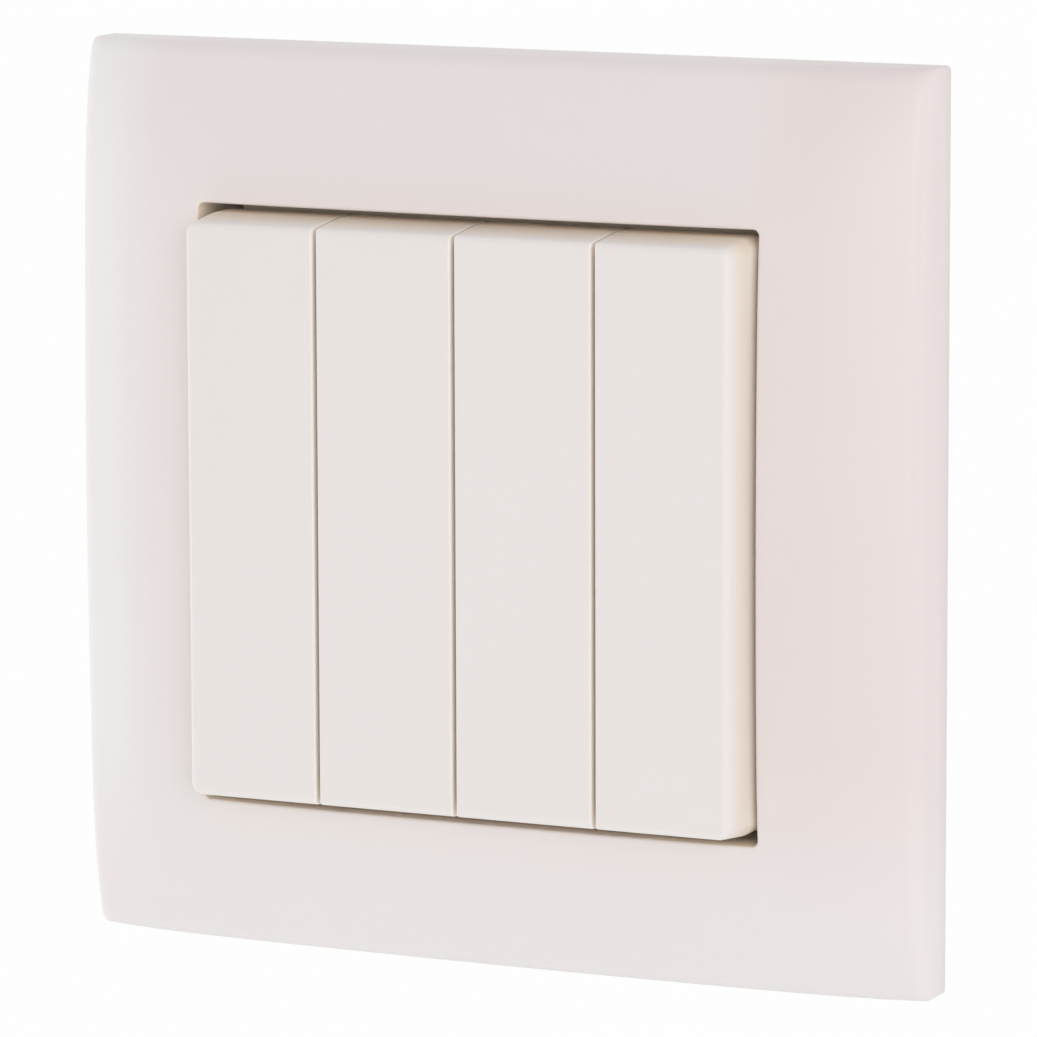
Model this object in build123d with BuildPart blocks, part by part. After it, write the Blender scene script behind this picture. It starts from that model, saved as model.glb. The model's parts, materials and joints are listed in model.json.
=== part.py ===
import os
from math import asin, cos, degrees, pi, sin

from build123d import *

# Four-gang push button switch for a flush wall box: a crowned square cover frame,
# four tall narrow keys on rocker levers, and the insert with its contacts behind them.
# Millimetres, X to the right, Y into the wall, Z up, origin in the middle of the wall plane.
# A "front" value is a distance from the wall plane towards the user; below zero is inside the wall.

os.makedirs("parts", exist_ok=True)

# Cover frame
frame_size = 84.0
frame_corner_radius = 1.3
frame_edge_radius = 1.25
frame_wall = 2.0
channel_front = 4.6
hollow_front = 6.4
frame_rib_front = 3.0
frame_rib_thickness = 1.0
frame_rib_places = (-22.0, -10.0, 10.0, 22.0)
opening_size = 55.6
opening_corner_radius = 1.0
collar_wall = 1.6
locating_wall = 1.2
locating_clearance = 0.6
locating_front = 0.2
screw_relief_width = 9.0
screw_relief_front = 4.0

# Crown of the cover frame: a slight bow both ways, and an arc that falls towards each side
crown_front = 11.75
crown_bow = 1.13
crown_fall = 3.69
crown_fall_start = 23.4
crown_reach = 44.0
crown_foot = 3.0

# Keys
key_count = 4
key_pitch = 13.77
key_gap = 0.45
key_block_width = key_count * key_pitch - key_gap
key_block_height = 54.0
key_corner_radius = 1.3
key_front = 14.9
key_skirt_front = 7.2
key_taper_front = 10.0
key_taper = 6.4
key_edge_radius = 0.7
key_gap_edge = 0.15
key_wall = 1.3
key_face_thickness = 1.8
key_rib_thickness = 1.0
key_rib_depth = 3.0
key_rib_height = 21.0
key_guide_front = 11.1
key_guide_length = 3.0
key_guide_height = 7.0

# Clip hooks of the keys, which grip the ends of the lever plates
hook_width = 3.0
hook_leg = 1.1
hook_barb = 0.6
hook_front = 9.4
hook_play = 0.1

# Rocker levers
pivot_front = 7.0
lever_width = 7.0
lever_length = 32.0
lever_plate = 2.5
hub_depth = 2.2
hub_edge = 0.8
web_height = 4.0
spine_width = 1.6
spine_depth = 2.4
trunnion_radius = 1.2
trunnion_reach = 5.0
nose_width = 2.5
nose_radius = 1.2
nose_height = 9.0
rest_gap = 0.05

# Bearing frame
bearing_width = 52.4
bearing_height = 55.2
bearing_thickness = 2.4
bearing_lip = 0.8
bearing_lip_wall = 1.0
post_start = 3.65
post_end = 5.05
post_height = 5.2
post_front = 8.3
bearing_radius = 1.25
bearing_mouth = 2.1
stop_width = 5.0
stop_height = 4.0
stop_front = 4.2
sleeve_size = 5.8
sleeve_front = -3.9
lug_reach = 27.4
lug_length = 6.0
lug_height = 12.0
lug_thickness = 1.1
snap_length = 7.0
snap_depth = 0.9
snap_front = 1.1
snap_thickness = 1.1

# Support ring
ring_size = 71.0
ring_corner = 5.0
ring_thickness = 1.0
ring_hole_width = 44.0
ring_hole_height = 35.2
box_screw_spacing = 60.0
box_slot_length = 5.6
box_slot_width = 3.6
ring_notch_length = 8.0
ring_notch_depth = 1.5
ring_notch_place = 18.0

# Base
base_width = 50.0
base_height = 40.0
base_round = 29.0
base_wall = 2.0
base_depth = 21.0
base_edge = 0.8
floor_front = -19.0
cell_wall = 1.2
cell_wall_front = -4.5
cell_wall_height = 12.2
cell_wall_length = 12.0
support_rib = 1.0
support_rib_height = 12.4
support_rib_length = 46.4
boss_size = 4.4
seat_size = 4.8
seat_front = -15.1
seat_pin_front = -13.6
pin_size = 1.4

# Assembly screws
screw_x = 12.3
screw_height = 15.2
screw_radius = 1.1
screw_end_front = -9.0
screw_hole_depth = 9.6
screw_head_radius = 2.1
screw_head_height = 1.5
screw_slot_width = 0.6
screw_slot_depth = 0.8
screw_play = 0.05
screw_clear = 0.25

# Plungers and moving contacts
plunger_pitch = 12.3
plunger_size = 3.4
plunger_play = 0.1
plunger_front = 4.6
plunger_edge = 0.4
shoulder_front = -4.0
foot_front = -9.0
foot_width = 5.0
foot_pin_front = -10.6
bridge_front = -6.4
bridge_thickness = 0.6
bridge_width = 2.6
bridge_length = 11.4
bridge_corner = 0.5
bridge_play = 0.05
tip_spacing = 9.2
tip_width = 1.8
tip_length = 2.0
tip_height = 0.5
tip_edge = 0.2

# Return springs
spring_radius = 1.7
spring_wire = 0.45
spring_turns = 3
spring_chords = 12
spring_top_front = -9.3
spring_bottom_front = -14.8

# Fixed contacts
strip_front = -8.9
strip_thickness = 0.7
strip_width = 2.8
strip_bend = 0.6
strip_inner_height = 11.9
strip_wall_gap = 0.05
strip_end_front = -17.5
rail_length = 40.0
rail_height = 3.2
branch_width = 8.0
common_width = 17.0
common_height = 4.4

# Wire entries and clamp springs
entry_size = 2.6
entry_height = 15.7
entry_funnel = 0.35
release_width = 2.4
release_slot = 0.9
release_height = 13.45
common_entry_x = 5.0
clamp_width = 2.4
clamp_thickness = 0.3
clamp_bend = 0.6
clamp_path = ((10.5, 13.1), (17.6, 13.1), (18.0, 14.2), (12.8, 17.0))

half_frame = frame_size / 2
half_opening = opening_size / 2
half_box = box_screw_spacing / 2
bow_radius = half_frame**2 / (2 * crown_bow)
bow_axis = bow_radius - crown_front
bow_angle = asin(crown_reach / bow_radius)
key_inner_front = key_front - key_face_thickness
lever_back_front = key_inner_front - lever_plate
plate_front = ring_thickness + bearing_thickness
inner_height = base_height / 2 - base_wall
gangs = range(1, key_count + 1)
key_x = {n: (n - (key_count + 1) / 2) * key_pitch for n in gangs}
plunger_x = {n: (n - (key_count + 1) / 2) * plunger_pitch for n in gangs}
screw_points = [(-screw_x, screw_height), (screw_x, -screw_height)]
common_x = (-common_entry_x, common_entry_x)


# Plane parallel to the wall, at a distance in front of it; its axes are X and Z
def front(distance):
    return Plane.XZ.offset(distance)


# Upright plane across X; its axes are Y and Z
def across(x):
    return Plane.YZ.offset(x)


# Distance of the crown from the axis of its bow, across the middle of the frame
def crown_at(x):
    outside = max(abs(x) - crown_fall_start, 0) / (half_frame - crown_fall_start)
    return bow_axis + crown_front - crown_bow * (x / half_frame) ** 2 - crown_fall * outside**2


# Block with the crown's profile from side to side, bowed from bottom to top, open in the middle
bow_start = Plane((0, bow_axis, 0), x_dir=(1, 0, 0), z_dir=(0, sin(bow_angle), -cos(bow_angle)))
fall_middle = (crown_fall_start + half_frame) / 2
crown_edge = (half_frame, crown_at(half_frame))
crown_back = (half_frame, bow_axis - crown_foot)
with BuildPart() as crown_block:
    with BuildSketch(bow_start) as profile:
        with BuildLine():
            ThreePointArc(*[(x, crown_at(x)) for x in (-crown_fall_start, 0, crown_fall_start)])
            for side in (-1, 1):
                ThreePointArc(*[(side * x, crown_at(x)) for x in (crown_fall_start, fall_middle, half_frame)])
                Line((side * crown_edge[0], crown_edge[1]), (side * crown_back[0], crown_back[1]))
            Line(crown_back, (-crown_back[0], crown_back[1]))
        make_face()
        corners = profile.vertices().group_by(Axis.X)
        fillet([corners[0].sort_by(Axis.Y)[-1], corners[-1].sort_by(Axis.Y)[-1]], frame_edge_radius)
    revolve(axis=Axis((0, bow_axis, 0), (-1, 0, 0)), revolution_arc=2 * degrees(bow_angle))
    with BuildSketch(front(-2 * crown_foot)):
        RectangleRounded(opening_size, opening_size, opening_corner_radius)
    extrude(amount=2 * crown_foot + crown_front, mode=Mode.SUBTRACT)

# Hollow in the back of the cover frame: a channel round the edge and a deeper pocket, with ribs left standing
locating_inner = ring_size + 2 * locating_clearance
locating_outer = locating_inner + 2 * locating_wall
hollow_outer = frame_size - 2 * frame_wall
hollow_inner = opening_size + 2 * collar_wall
with BuildPart() as frame_hollow:
    with BuildSketch(front(0)):
        Rectangle(hollow_outer, hollow_outer)
        Rectangle(locating_outer, locating_outer, mode=Mode.SUBTRACT)
    extrude(amount=channel_front)
    with BuildSketch(front(0)):
        Rectangle(locating_inner, locating_inner)
        Rectangle(hollow_inner, hollow_inner, mode=Mode.SUBTRACT)
    extrude(amount=hollow_front)
    with BuildSketch(front(frame_rib_front)):
        for place in frame_rib_places:
            with Locations((place, 0)):
                Rectangle(frame_rib_thickness, frame_size)
            with Locations((0, place)):
                Rectangle(frame_size, frame_rib_thickness)
    extrude(amount=crown_front, mode=Mode.SUBTRACT)

# Cover frame: two such blocks crossed, so that the arcs meet in a mitre at each corner
with BuildPart() as cover_frame:
    with BuildSketch(front(0)):
        RectangleRounded(frame_size, frame_size, frame_corner_radius)
    extrude(amount=crown_front)
    add(crown_block.part, mode=Mode.INTERSECT)
    add(crown_block.part.rotate(Axis.Y, 90), mode=Mode.INTERSECT)
    add(frame_hollow.part, mode=Mode.SUBTRACT)
    # Room for the support ring behind the collar
    with BuildSketch(front(0)):
        Rectangle(locating_outer, locating_outer)
    extrude(amount=locating_front, mode=Mode.SUBTRACT)
    with BuildSketch(front(0)):
        Rectangle(locating_inner, locating_inner)
    extrude(amount=ring_thickness, mode=Mode.SUBTRACT)
    # Reliefs in the collar for the heads of the box screws
    with BuildSketch(front(ring_thickness)):
        with Locations((-half_opening, 0), (half_opening, 0)):
            Rectangle(4 * collar_wall, screw_relief_width)
        with Locations((0, -half_opening), (0, half_opening)):
            Rectangle(screw_relief_width, 4 * collar_wall)
    extrude(amount=screw_relief_front - ring_thickness, mode=Mode.SUBTRACT)
    # Snap ribs on the collar, held behind the lugs of the bearing frame
    with BuildSketch(front(snap_front)):
        for side in (-1, 1):
            with Locations((side * half_opening, -lug_height), (side * half_opening, lug_height)):
                Rectangle(2 * snap_depth, snap_length)
    extrude(amount=snap_thickness)
cover_frame.part.label = "cover_frame"
export_step(cover_frame.part, "parts/cover_frame.step")


# One key: a slice of the tapered block, hollow behind, with clip hooks and guide ribs.
# The right-hand keys mirror the left-hand ones.
def push_key(n):
    left = min(n, key_count + 1 - n)
    x = key_x[left]
    width = key_pitch - key_gap
    half_lever = lever_length / 2
    with BuildPart() as key:
        with BuildSketch(front(key_skirt_front)):
            RectangleRounded(key_block_width, key_block_height, key_corner_radius)
        extrude(amount=key_taper_front - key_skirt_front)
        with BuildSketch(front(key_taper_front)):
            RectangleRounded(key_block_width, key_block_height, key_corner_radius)
        extrude(amount=key_front - key_taper_front, taper=key_taper)
        fillet(key.faces().sort_by(Axis.Y)[0].edges(), key_edge_radius)
        with BuildSketch(front(key_skirt_front)):
            with Locations((x, 0)):
                Rectangle(width, key_block_height)
        extrude(amount=key_front - key_skirt_front, mode=Mode.INTERSECT)
        sides = key.faces().sort_by(Axis.Y)[0].edges().filter_by(Axis.Z)
        cut = [edge for edge in sides if abs(abs(edge.center().X - x) - width / 2) < key_gap_edge]
        chamfer(cut, key_gap_edge)
        # Hollow back
        with BuildSketch(front(key_skirt_front)):
            with Locations((x, 0)):
                Rectangle(width - 2 * key_wall, key_block_height - 4 * key_wall)
        extrude(amount=key_inner_front - key_skirt_front, mode=Mode.SUBTRACT)
        # Cross ribs near both ends
        with BuildSketch(front(key_inner_front - key_rib_depth)):
            with Locations((x, -key_rib_height), (x, key_rib_height)):
                Rectangle(width - key_wall, key_rib_thickness)
        extrude(amount=key_rib_depth)
        # Guide ribs beside the lever plate
        guide_x = lever_width / 2 + hook_play + key_rib_thickness / 2
        with BuildSketch(front(key_guide_front)):
            for side in (-1, 1):
                with Locations((x + side * guide_x, -key_guide_height), (x + side * guide_x, key_guide_height)):
                    Rectangle(key_rib_thickness, key_guide_length)
        extrude(amount=key_inner_front - key_guide_front)
        # Hooks behind the ends of the lever plate
        inside = half_lever + hook_play
        outside = inside + hook_leg
        catch = lever_back_front - hook_play
        with BuildSketch(across(x - hook_width / 2)):
            with BuildLine():
                Polyline(
                    (-key_inner_front, inside),
                    (-catch, inside),
                    (-catch, inside - hook_barb),
                    (-hook_front, inside),
                    (-hook_front, outside),
                    (-key_inner_front, outside),
                    close=True,
                )
            make_face()
            mirror(about=Plane.XZ)
        extrude(amount=hook_width)
        if n != left:
            mirror(about=Plane.YZ, mode=Mode.REPLACE)
    key.part.label = f"push_key_{n}"
    return key.part


# One rocker lever: seat plate, hub with trunnions, nose for the plunger and rest arm
def rocker_lever(n):
    x = key_x[n]
    nose_front = plunger_front + rest_gap + nose_radius
    rest_front = stop_front + rest_gap
    with BuildPart() as lever:
        with BuildSketch(front(lever_back_front)):
            with Locations((x, 0)):
                Rectangle(lever_width, lever_length)
        extrude(amount=lever_plate)
        with BuildSketch(across(x - lever_width / 2)) as hub:
            with Locations((-(pivot_front - hub_depth + lever_back_front) / 2, 0)):
                Rectangle(lever_back_front - pivot_front + hub_depth, web_height)
            chamfer(hub.vertices().group_by(Axis.Y)[-1], hub_edge)
        extrude(amount=lever_width)
        with BuildSketch(across(x - trunnion_reach)):
            with Locations((-pivot_front, 0)):
                Circle(trunnion_radius)
        extrude(amount=2 * trunnion_reach)
        # Spine under the plate, from the nose to the rest arm
        with BuildSketch(across(x - spine_width / 2)):
            with Locations((-lever_back_front + spine_depth / 2, 0)):
                Rectangle(spine_depth, 2 * nose_height)
        extrude(amount=spine_width)
        # Nose over the plunger
        with BuildSketch(across(plunger_x[n] - nose_width / 2)):
            with Locations((-nose_front, -nose_height)):
                Circle(nose_radius)
            with Locations((-(nose_front + lever_back_front) / 2, -nose_height)):
                Rectangle(lever_back_front - nose_front, 2 * nose_radius)
        extrude(amount=nose_width)
        # Rest arm over the stop
        with BuildSketch(across(x - nose_width / 2)):
            with Locations((-(rest_front + lever_back_front) / 2, nose_height)):
                Rectangle(lever_back_front - rest_front, 2 * nose_radius)
        extrude(amount=nose_width)
    lever.part.label = f"rocker_lever_{n}"
    return lever.part


for n in gangs:
    export_step(push_key(n), f"parts/push_key_{n}.step")
    export_step(rocker_lever(n), f"parts/rocker_lever_{n}.step")

# Support ring, with two pairs of box screw slots
with BuildPart() as support_ring:
    with BuildSketch(front(0)):
        RectangleRounded(ring_size, ring_size, ring_corner)
        Rectangle(ring_hole_width, ring_hole_height, mode=Mode.SUBTRACT)
        with Locations((-half_box, 0), (half_box, 0)):
            SlotOverall(box_slot_length, box_slot_width, mode=Mode.SUBTRACT)
        with Locations((0, -half_box), (0, half_box)):
            SlotOverall(box_slot_length, box_slot_width, rotation=90, mode=Mode.SUBTRACT)
        for side in (-1, 1):
            for place in (-ring_notch_place, ring_notch_place):
                with Locations((side * ring_size / 2, place)):
                    Rectangle(2 * ring_notch_depth, ring_notch_length, mode=Mode.SUBTRACT)
                with Locations((place, side * ring_size / 2)):
                    Rectangle(ring_notch_length, 2 * ring_notch_depth, mode=Mode.SUBTRACT)
    extrude(amount=ring_thickness)
support_ring.part.label = "support_ring"
export_step(support_ring.part, "parts/support_ring.step")

# Bearing frame: plate, lip, trunnion posts, stops, plunger sleeves and lugs
guide_size = plunger_size + 2 * plunger_play
guide_points = [(plunger_x[n], -nose_height) for n in gangs]
with BuildPart() as bearing_frame:
    with BuildSketch(front(ring_thickness)):
        Rectangle(bearing_width, bearing_height)
    extrude(amount=bearing_thickness)
    with BuildSketch(front(plate_front)):
        Rectangle(bearing_width, bearing_height)
        inner = 2 * bearing_lip_wall
        Rectangle(bearing_width - inner, bearing_height - inner, mode=Mode.SUBTRACT)
    extrude(amount=bearing_lip)
    with BuildSketch(front(plate_front - lug_thickness)):
        for side in (-1, 1):
            middle = side * (lug_reach + bearing_width / 2 - bearing_lip_wall) / 2
            with Locations((middle, -lug_height), (middle, lug_height)):
                Rectangle(lug_reach - bearing_width / 2 + bearing_lip_wall, lug_length)
    extrude(amount=lug_thickness)
    # Posts with snap-in bearings for the trunnions
    with BuildSketch(front(plate_front)):
        for n in gangs:
            for side in (-1, 1):
                with Locations((key_x[n] + side * (post_start + post_end) / 2, 0)):
                    Rectangle(post_end - post_start, post_height)
        with Locations(*[(key_x[n], nose_height) for n in gangs]):
            Rectangle(stop_width, stop_height)
    extrude(amount=stop_front - plate_front)
    with BuildSketch(front(stop_front)):
        for n in gangs:
            for side in (-1, 1):
                with Locations((key_x[n] + side * (post_start + post_end) / 2, 0)):
                    Rectangle(post_end - post_start, post_height)
    extrude(amount=post_front - stop_front)
    with BuildSketch(across(-bearing_width / 2)):
        with Locations((-pivot_front, 0)):
            Circle(bearing_radius)
        with Locations((-(pivot_front + post_front) / 2, 0)):
            Rectangle(post_front - pivot_front, bearing_mouth)
    extrude(amount=bearing_width, mode=Mode.SUBTRACT)
    # Sleeves that guide the plungers
    with BuildSketch(front(sleeve_front)):
        with Locations(*guide_points):
            Rectangle(sleeve_size, sleeve_size)
    extrude(amount=ring_thickness - sleeve_front)
    with BuildSketch(front(sleeve_front)):
        with Locations(*guide_points):
            Rectangle(guide_size, guide_size)
    extrude(amount=plate_front - sleeve_front, mode=Mode.SUBTRACT)
    with BuildSketch(front(ring_thickness)):
        with Locations(*screw_points):
            Circle(screw_radius + screw_clear)
    extrude(amount=bearing_thickness, mode=Mode.SUBTRACT)
bearing_frame.part.label = "bearing_frame"
export_step(bearing_frame.part, "parts/bearing_frame.step")

# Base: a cup behind the support ring, with cells, bosses, spring seats and wire entries
entry_points = [(plunger_x[n], -entry_height) for n in gangs] + [(x, entry_height) for x in common_x]
release_points = [(plunger_x[n], -release_height) for n in gangs] + [(x, release_height) for x in common_x]
rail_centre = -nose_height + tip_spacing / 2
with BuildPart() as base:
    with BuildSketch(front(-base_depth)):
        Rectangle(base_width, base_height)
        Circle(base_round, mode=Mode.INTERSECT)
    extrude(amount=base_depth)
    chamfer(base.faces().sort_by(Axis.Y)[-1].edges(), base_edge)
    with BuildSketch(front(floor_front)):
        Rectangle(base_width - 2 * base_wall, base_height - 2 * base_wall)
        Circle(base_round - base_wall, mode=Mode.INTERSECT)
    extrude(amount=-floor_front, mode=Mode.SUBTRACT)
    # Ribs that carry the contact strips
    with BuildSketch(front(floor_front)):
        with Locations((0, -support_rib_height), (0, rail_centre), (0, support_rib_height)):
            Rectangle(support_rib_length, support_rib)
    extrude(amount=strip_front - floor_front)
    # Walls between the cells
    with BuildSketch(front(floor_front)):
        with Locations(*[(x, -cell_wall_height) for x in (-plunger_pitch, 0, plunger_pitch)]):
            Rectangle(cell_wall, cell_wall_length)
    extrude(amount=cell_wall_front - floor_front)
    # Screw bosses, which reach the bearing frame through the ring
    with BuildSketch(front(floor_front)):
        with Locations(*screw_points):
            Rectangle(boss_size, boss_size)
    extrude(amount=ring_thickness - floor_front)
    with BuildSketch(front(-screw_hole_depth)):
        with Locations(*screw_points):
            Circle(screw_radius + screw_play)
    extrude(amount=ring_thickness + screw_hole_depth, mode=Mode.SUBTRACT)
    # Spring seats with their pins
    with BuildSketch(front(floor_front)):
        with Locations(*guide_points):
            Rectangle(seat_size, seat_size)
    extrude(amount=seat_front - floor_front)
    with BuildSketch(front(seat_front)):
        with Locations(*guide_points):
            Rectangle(pin_size, pin_size)
    extrude(amount=seat_pin_front - seat_front)
    # Wire entries with funnels, and slots to release the clamps
    with BuildSketch(front(-base_depth)):
        with Locations(*entry_points):
            Rectangle(entry_size, entry_size)
        with Locations(*release_points):
            Rectangle(release_width, release_slot)
    extrude(amount=base_depth + floor_front, mode=Mode.SUBTRACT)
    back = base.faces().sort_by(Axis.Y)[-1]
    square = [w for w in back.inner_wires() if abs(w.length - 4 * entry_size) < 0.1]
    chamfer([edge for wire in square for edge in wire.edges()], entry_funnel)
base.part.label = "base"
export_step(base.part, "parts/base.step")

# Assembly screws, from the bearing frame through the ring into the base
with BuildPart() as assembly_screws:
    with BuildSketch(front(plate_front)):
        with Locations(*screw_points):
            Circle(screw_head_radius)
    extrude(amount=screw_head_height)
    with BuildSketch(front(plate_front + screw_head_height - screw_slot_depth)):
        with Locations(*screw_points):
            Rectangle(2 * screw_head_radius, screw_slot_width)
    extrude(amount=screw_slot_depth, mode=Mode.SUBTRACT)
    with BuildSketch(front(screw_end_front)):
        with Locations(*screw_points):
            Circle(screw_radius)
    extrude(amount=plate_front - screw_end_front)
assembly_screws.part.label = "assembly_screws"
export_step(assembly_screws.part, "parts/assembly_screws.step")


# One plunger: square shank, foot with a window for the contact bridge, pin for the spring
def plunger(n):
    place = (plunger_x[n], -nose_height)
    with BuildPart() as body:
        with BuildSketch(front(shoulder_front)):
            with Locations(place):
                Rectangle(plunger_size, plunger_size)
        extrude(amount=plunger_front - shoulder_front)
        chamfer(body.faces().sort_by(Axis.Y)[0].edges(), plunger_edge)
        with BuildSketch(front(foot_front)):
            with Locations(place):
                Rectangle(foot_width, plunger_size)
        extrude(amount=shoulder_front - foot_front)
        with BuildSketch(front(bridge_front - bridge_play)):
            with Locations(place):
                Rectangle(bridge_width + 2 * bridge_play, plunger_size)
        extrude(amount=bridge_thickness + 2 * bridge_play, mode=Mode.SUBTRACT)
        with BuildSketch(front(foot_pin_front)):
            with Locations(place):
                Rectangle(pin_size, pin_size)
        extrude(amount=foot_front - foot_pin_front)
    body.part.label = f"plunger_{n}"
    return body.part


# One contact bridge: a flat strip through the window of the plunger
def contact_bridge(n):
    with BuildPart() as strip:
        with BuildSketch(front(bridge_front)) as outline:
            with Locations((plunger_x[n], -nose_height)):
                Rectangle(bridge_width, bridge_length)
            chamfer(outline.vertices(), bridge_corner)
        extrude(amount=bridge_thickness)
    strip.part.label = f"contact_bridge_{n}"
    return strip.part


# Silver tips of one contact bridge
def bridge_tips(n):
    half = tip_spacing / 2
    with BuildPart() as tips:
        with BuildSketch(front(bridge_front - tip_height)):
            with Locations((plunger_x[n], -nose_height - half), (plunger_x[n], -nose_height + half)):
                Rectangle(tip_width, tip_length)
        extrude(amount=tip_height)
        chamfer(tips.faces().group_by(Axis.Y)[-1].edges(), tip_edge)
    tips.part.label = f"bridge_tips_{n}"
    return tips.part


# One return spring: a square wire wound in short chords between the plunger foot and its seat
def return_spring(n):
    height = spring_top_front - spring_bottom_front
    steps = spring_turns * spring_chords
    turns = [2 * pi * i / spring_chords for i in range(steps + 1)]
    with BuildPart() as spring:
        with BuildLine() as wire:
            Polyline(
                *[
                    (
                        plunger_x[n] + spring_radius * cos(turn),
                        -spring_bottom_front - height * i / steps,
                        spring_radius * sin(turn) - nose_height,
                    )
                    for i, turn in enumerate(turns)
                ]
            )
        with BuildSketch(Plane(origin=wire.line @ 0, z_dir=wire.line % 0)):
            Rectangle(spring_wire, spring_wire)
        sweep(transition=Transition.RIGHT)
    spring.part.label = f"return_spring_{n}"
    return spring.part


# One fixed contact: an angled strip from the tip to the wire clamp
def fixed_contact(n):
    outer = -inner_height + strip_wall_gap
    with BuildPart() as strip:
        with BuildSketch(across(plunger_x[n] - strip_width / 2)):
            with BuildLine():
                FilletPolyline(
                    (-strip_front - strip_thickness / 2, -strip_inner_height),
                    (-strip_front - strip_thickness / 2, outer + strip_thickness / 2),
                    (-strip_end_front, outer + strip_thickness / 2),
                    radius=strip_bend,
                )
            trace(line_width=strip_thickness)
        extrude(amount=strip_width)
    strip.part.label = f"fixed_contact_{n}"
    return strip.part


for n in gangs:
    export_step(plunger(n), f"parts/plunger_{n}.step")
    export_step(contact_bridge(n), f"parts/contact_bridge_{n}.step")
    export_step(bridge_tips(n), f"parts/bridge_tips_{n}.step")
    export_step(return_spring(n), f"parts/return_spring_{n}.step")
    export_step(fixed_contact(n), f"parts/fixed_contact_{n}.step")

# Common rail: a strip under all bridges, with a branch to the two common wire clamps
common_top = inner_height - strip_wall_gap
with BuildPart() as common_rail:
    with BuildSketch(front(strip_front)):
        with Locations((0, rail_centre)):
            Rectangle(rail_length, rail_height)
        with Locations((0, (rail_centre + common_top) / 2)):
            Rectangle(branch_width, common_top - rail_centre)
        with Locations((0, common_top - common_height / 2)):
            Rectangle(common_width, common_height)
    extrude(amount=strip_thickness)
    with BuildSketch(front(strip_end_front)):
        with Locations((0, common_top - strip_thickness / 2)):
            Rectangle(common_width, strip_thickness)
    extrude(amount=strip_front - strip_end_front)
common_rail.part.label = "common_rail"
export_step(common_rail.part, "parts/common_rail.step")

# Silver tips on the fixed contacts and on the common rail
with BuildPart() as fixed_tips:
    with BuildSketch(front(strip_front + strip_thickness)):
        for n in gangs:
            lower = -nose_height - tip_spacing / 2
            with Locations((plunger_x[n], lower), (plunger_x[n], rail_centre)):
                Rectangle(tip_width, tip_length)
    extrude(amount=tip_height)
    chamfer(fixed_tips.faces().group_by(Axis.Y)[0].edges(), tip_edge)
fixed_tips.part.label = "fixed_tips"
export_step(fixed_tips.part, "parts/fixed_tips.step")

# Clamp springs: bent leaves that press the wires against the strips
with BuildPart() as clamp_springs:
    for x, side in [(plunger_x[n], -1) for n in gangs] + [(x, 1) for x in common_x]:
        with BuildSketch(across(x - clamp_width / 2)):
            with BuildLine():
                FilletPolyline(*[(y, side * z) for y, z in clamp_path], radius=clamp_bend)
            trace(line_width=clamp_thickness)
        extrude(amount=clamp_width)
clamp_springs.part.label = "clamp_springs"
export_step(clamp_springs.part, "parts/clamp_springs.step")
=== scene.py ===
import json
import math

import bmesh
import bpy
import numpy as np
from mathutils import Matrix, Vector


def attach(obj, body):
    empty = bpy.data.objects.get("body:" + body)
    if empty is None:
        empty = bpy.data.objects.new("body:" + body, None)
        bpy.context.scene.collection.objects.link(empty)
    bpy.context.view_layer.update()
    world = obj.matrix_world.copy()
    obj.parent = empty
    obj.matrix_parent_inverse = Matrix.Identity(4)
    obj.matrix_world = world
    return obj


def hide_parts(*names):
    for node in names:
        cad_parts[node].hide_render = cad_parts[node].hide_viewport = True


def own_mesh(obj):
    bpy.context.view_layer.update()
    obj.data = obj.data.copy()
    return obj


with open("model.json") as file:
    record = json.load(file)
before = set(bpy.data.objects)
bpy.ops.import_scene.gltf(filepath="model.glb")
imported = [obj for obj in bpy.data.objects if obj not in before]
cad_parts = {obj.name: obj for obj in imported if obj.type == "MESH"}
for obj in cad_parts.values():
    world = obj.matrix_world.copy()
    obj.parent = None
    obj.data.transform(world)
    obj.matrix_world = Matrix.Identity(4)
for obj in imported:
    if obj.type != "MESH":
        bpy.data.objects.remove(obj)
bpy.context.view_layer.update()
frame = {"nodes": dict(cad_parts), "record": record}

mm = 0.001
keyPitch = 13.77  # mm from key to key
openingHalf = 27.8  # mm from the middle to the side of the cover's opening
scene = bpy.context.scene
print("frame loaded:", len(frame["nodes"]), "nodes")

# camera at the angle of the picture
cameraFit = {
    "sideAngle": 24.694,  # degrees to the right of straight ahead
    "upAngle": 9.095,
    "roll": -0.184,
    "distance": 640.53,  # mm from the target
    "target": (-0.328, 0.0, -1.267),
    "focalPixels": 6972.2,
    "imageWidth": 1037,
    "sensor": 36.0,
    "near": 0.02,  # metres
    "far": 80.0,
}


def placeCamera(fit):
    # axes of the view: right, up and back, turned by the roll
    side, rise, roll = (math.radians(fit[k]) for k in ("sideAngle", "upAngle", "roll"))
    level = math.cos(rise)
    back = np.array([math.sin(side) * level, -math.cos(side) * level, math.sin(rise)])
    right = np.array([math.cos(side), math.sin(side), 0.0])
    up = np.cross(back, right)
    rightRolled = math.cos(roll) * right + math.sin(roll) * up
    upRolled = math.cos(roll) * up - math.sin(roll) * right
    place = (np.array(fit["target"]) + fit["distance"] * back) * mm
    data = bpy.data.cameras.new("photoCamera")
    data.sensor_width = fit["sensor"]
    data.lens = fit["focalPixels"] * fit["sensor"] / fit["imageWidth"]
    data.clip_start, data.clip_end = fit["near"], fit["far"]
    camera = bpy.data.objects.new("photoCamera", data)
    scene.collection.objects.link(camera)
    turn = Matrix(np.column_stack([rightRolled, upRolled, back]).tolist()).to_4x4()
    camera.matrix_world = Matrix.Translation(Vector(place)) @ turn
    scene.camera = camera


placeCamera(cameraFit)
print("camera placed")


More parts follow.
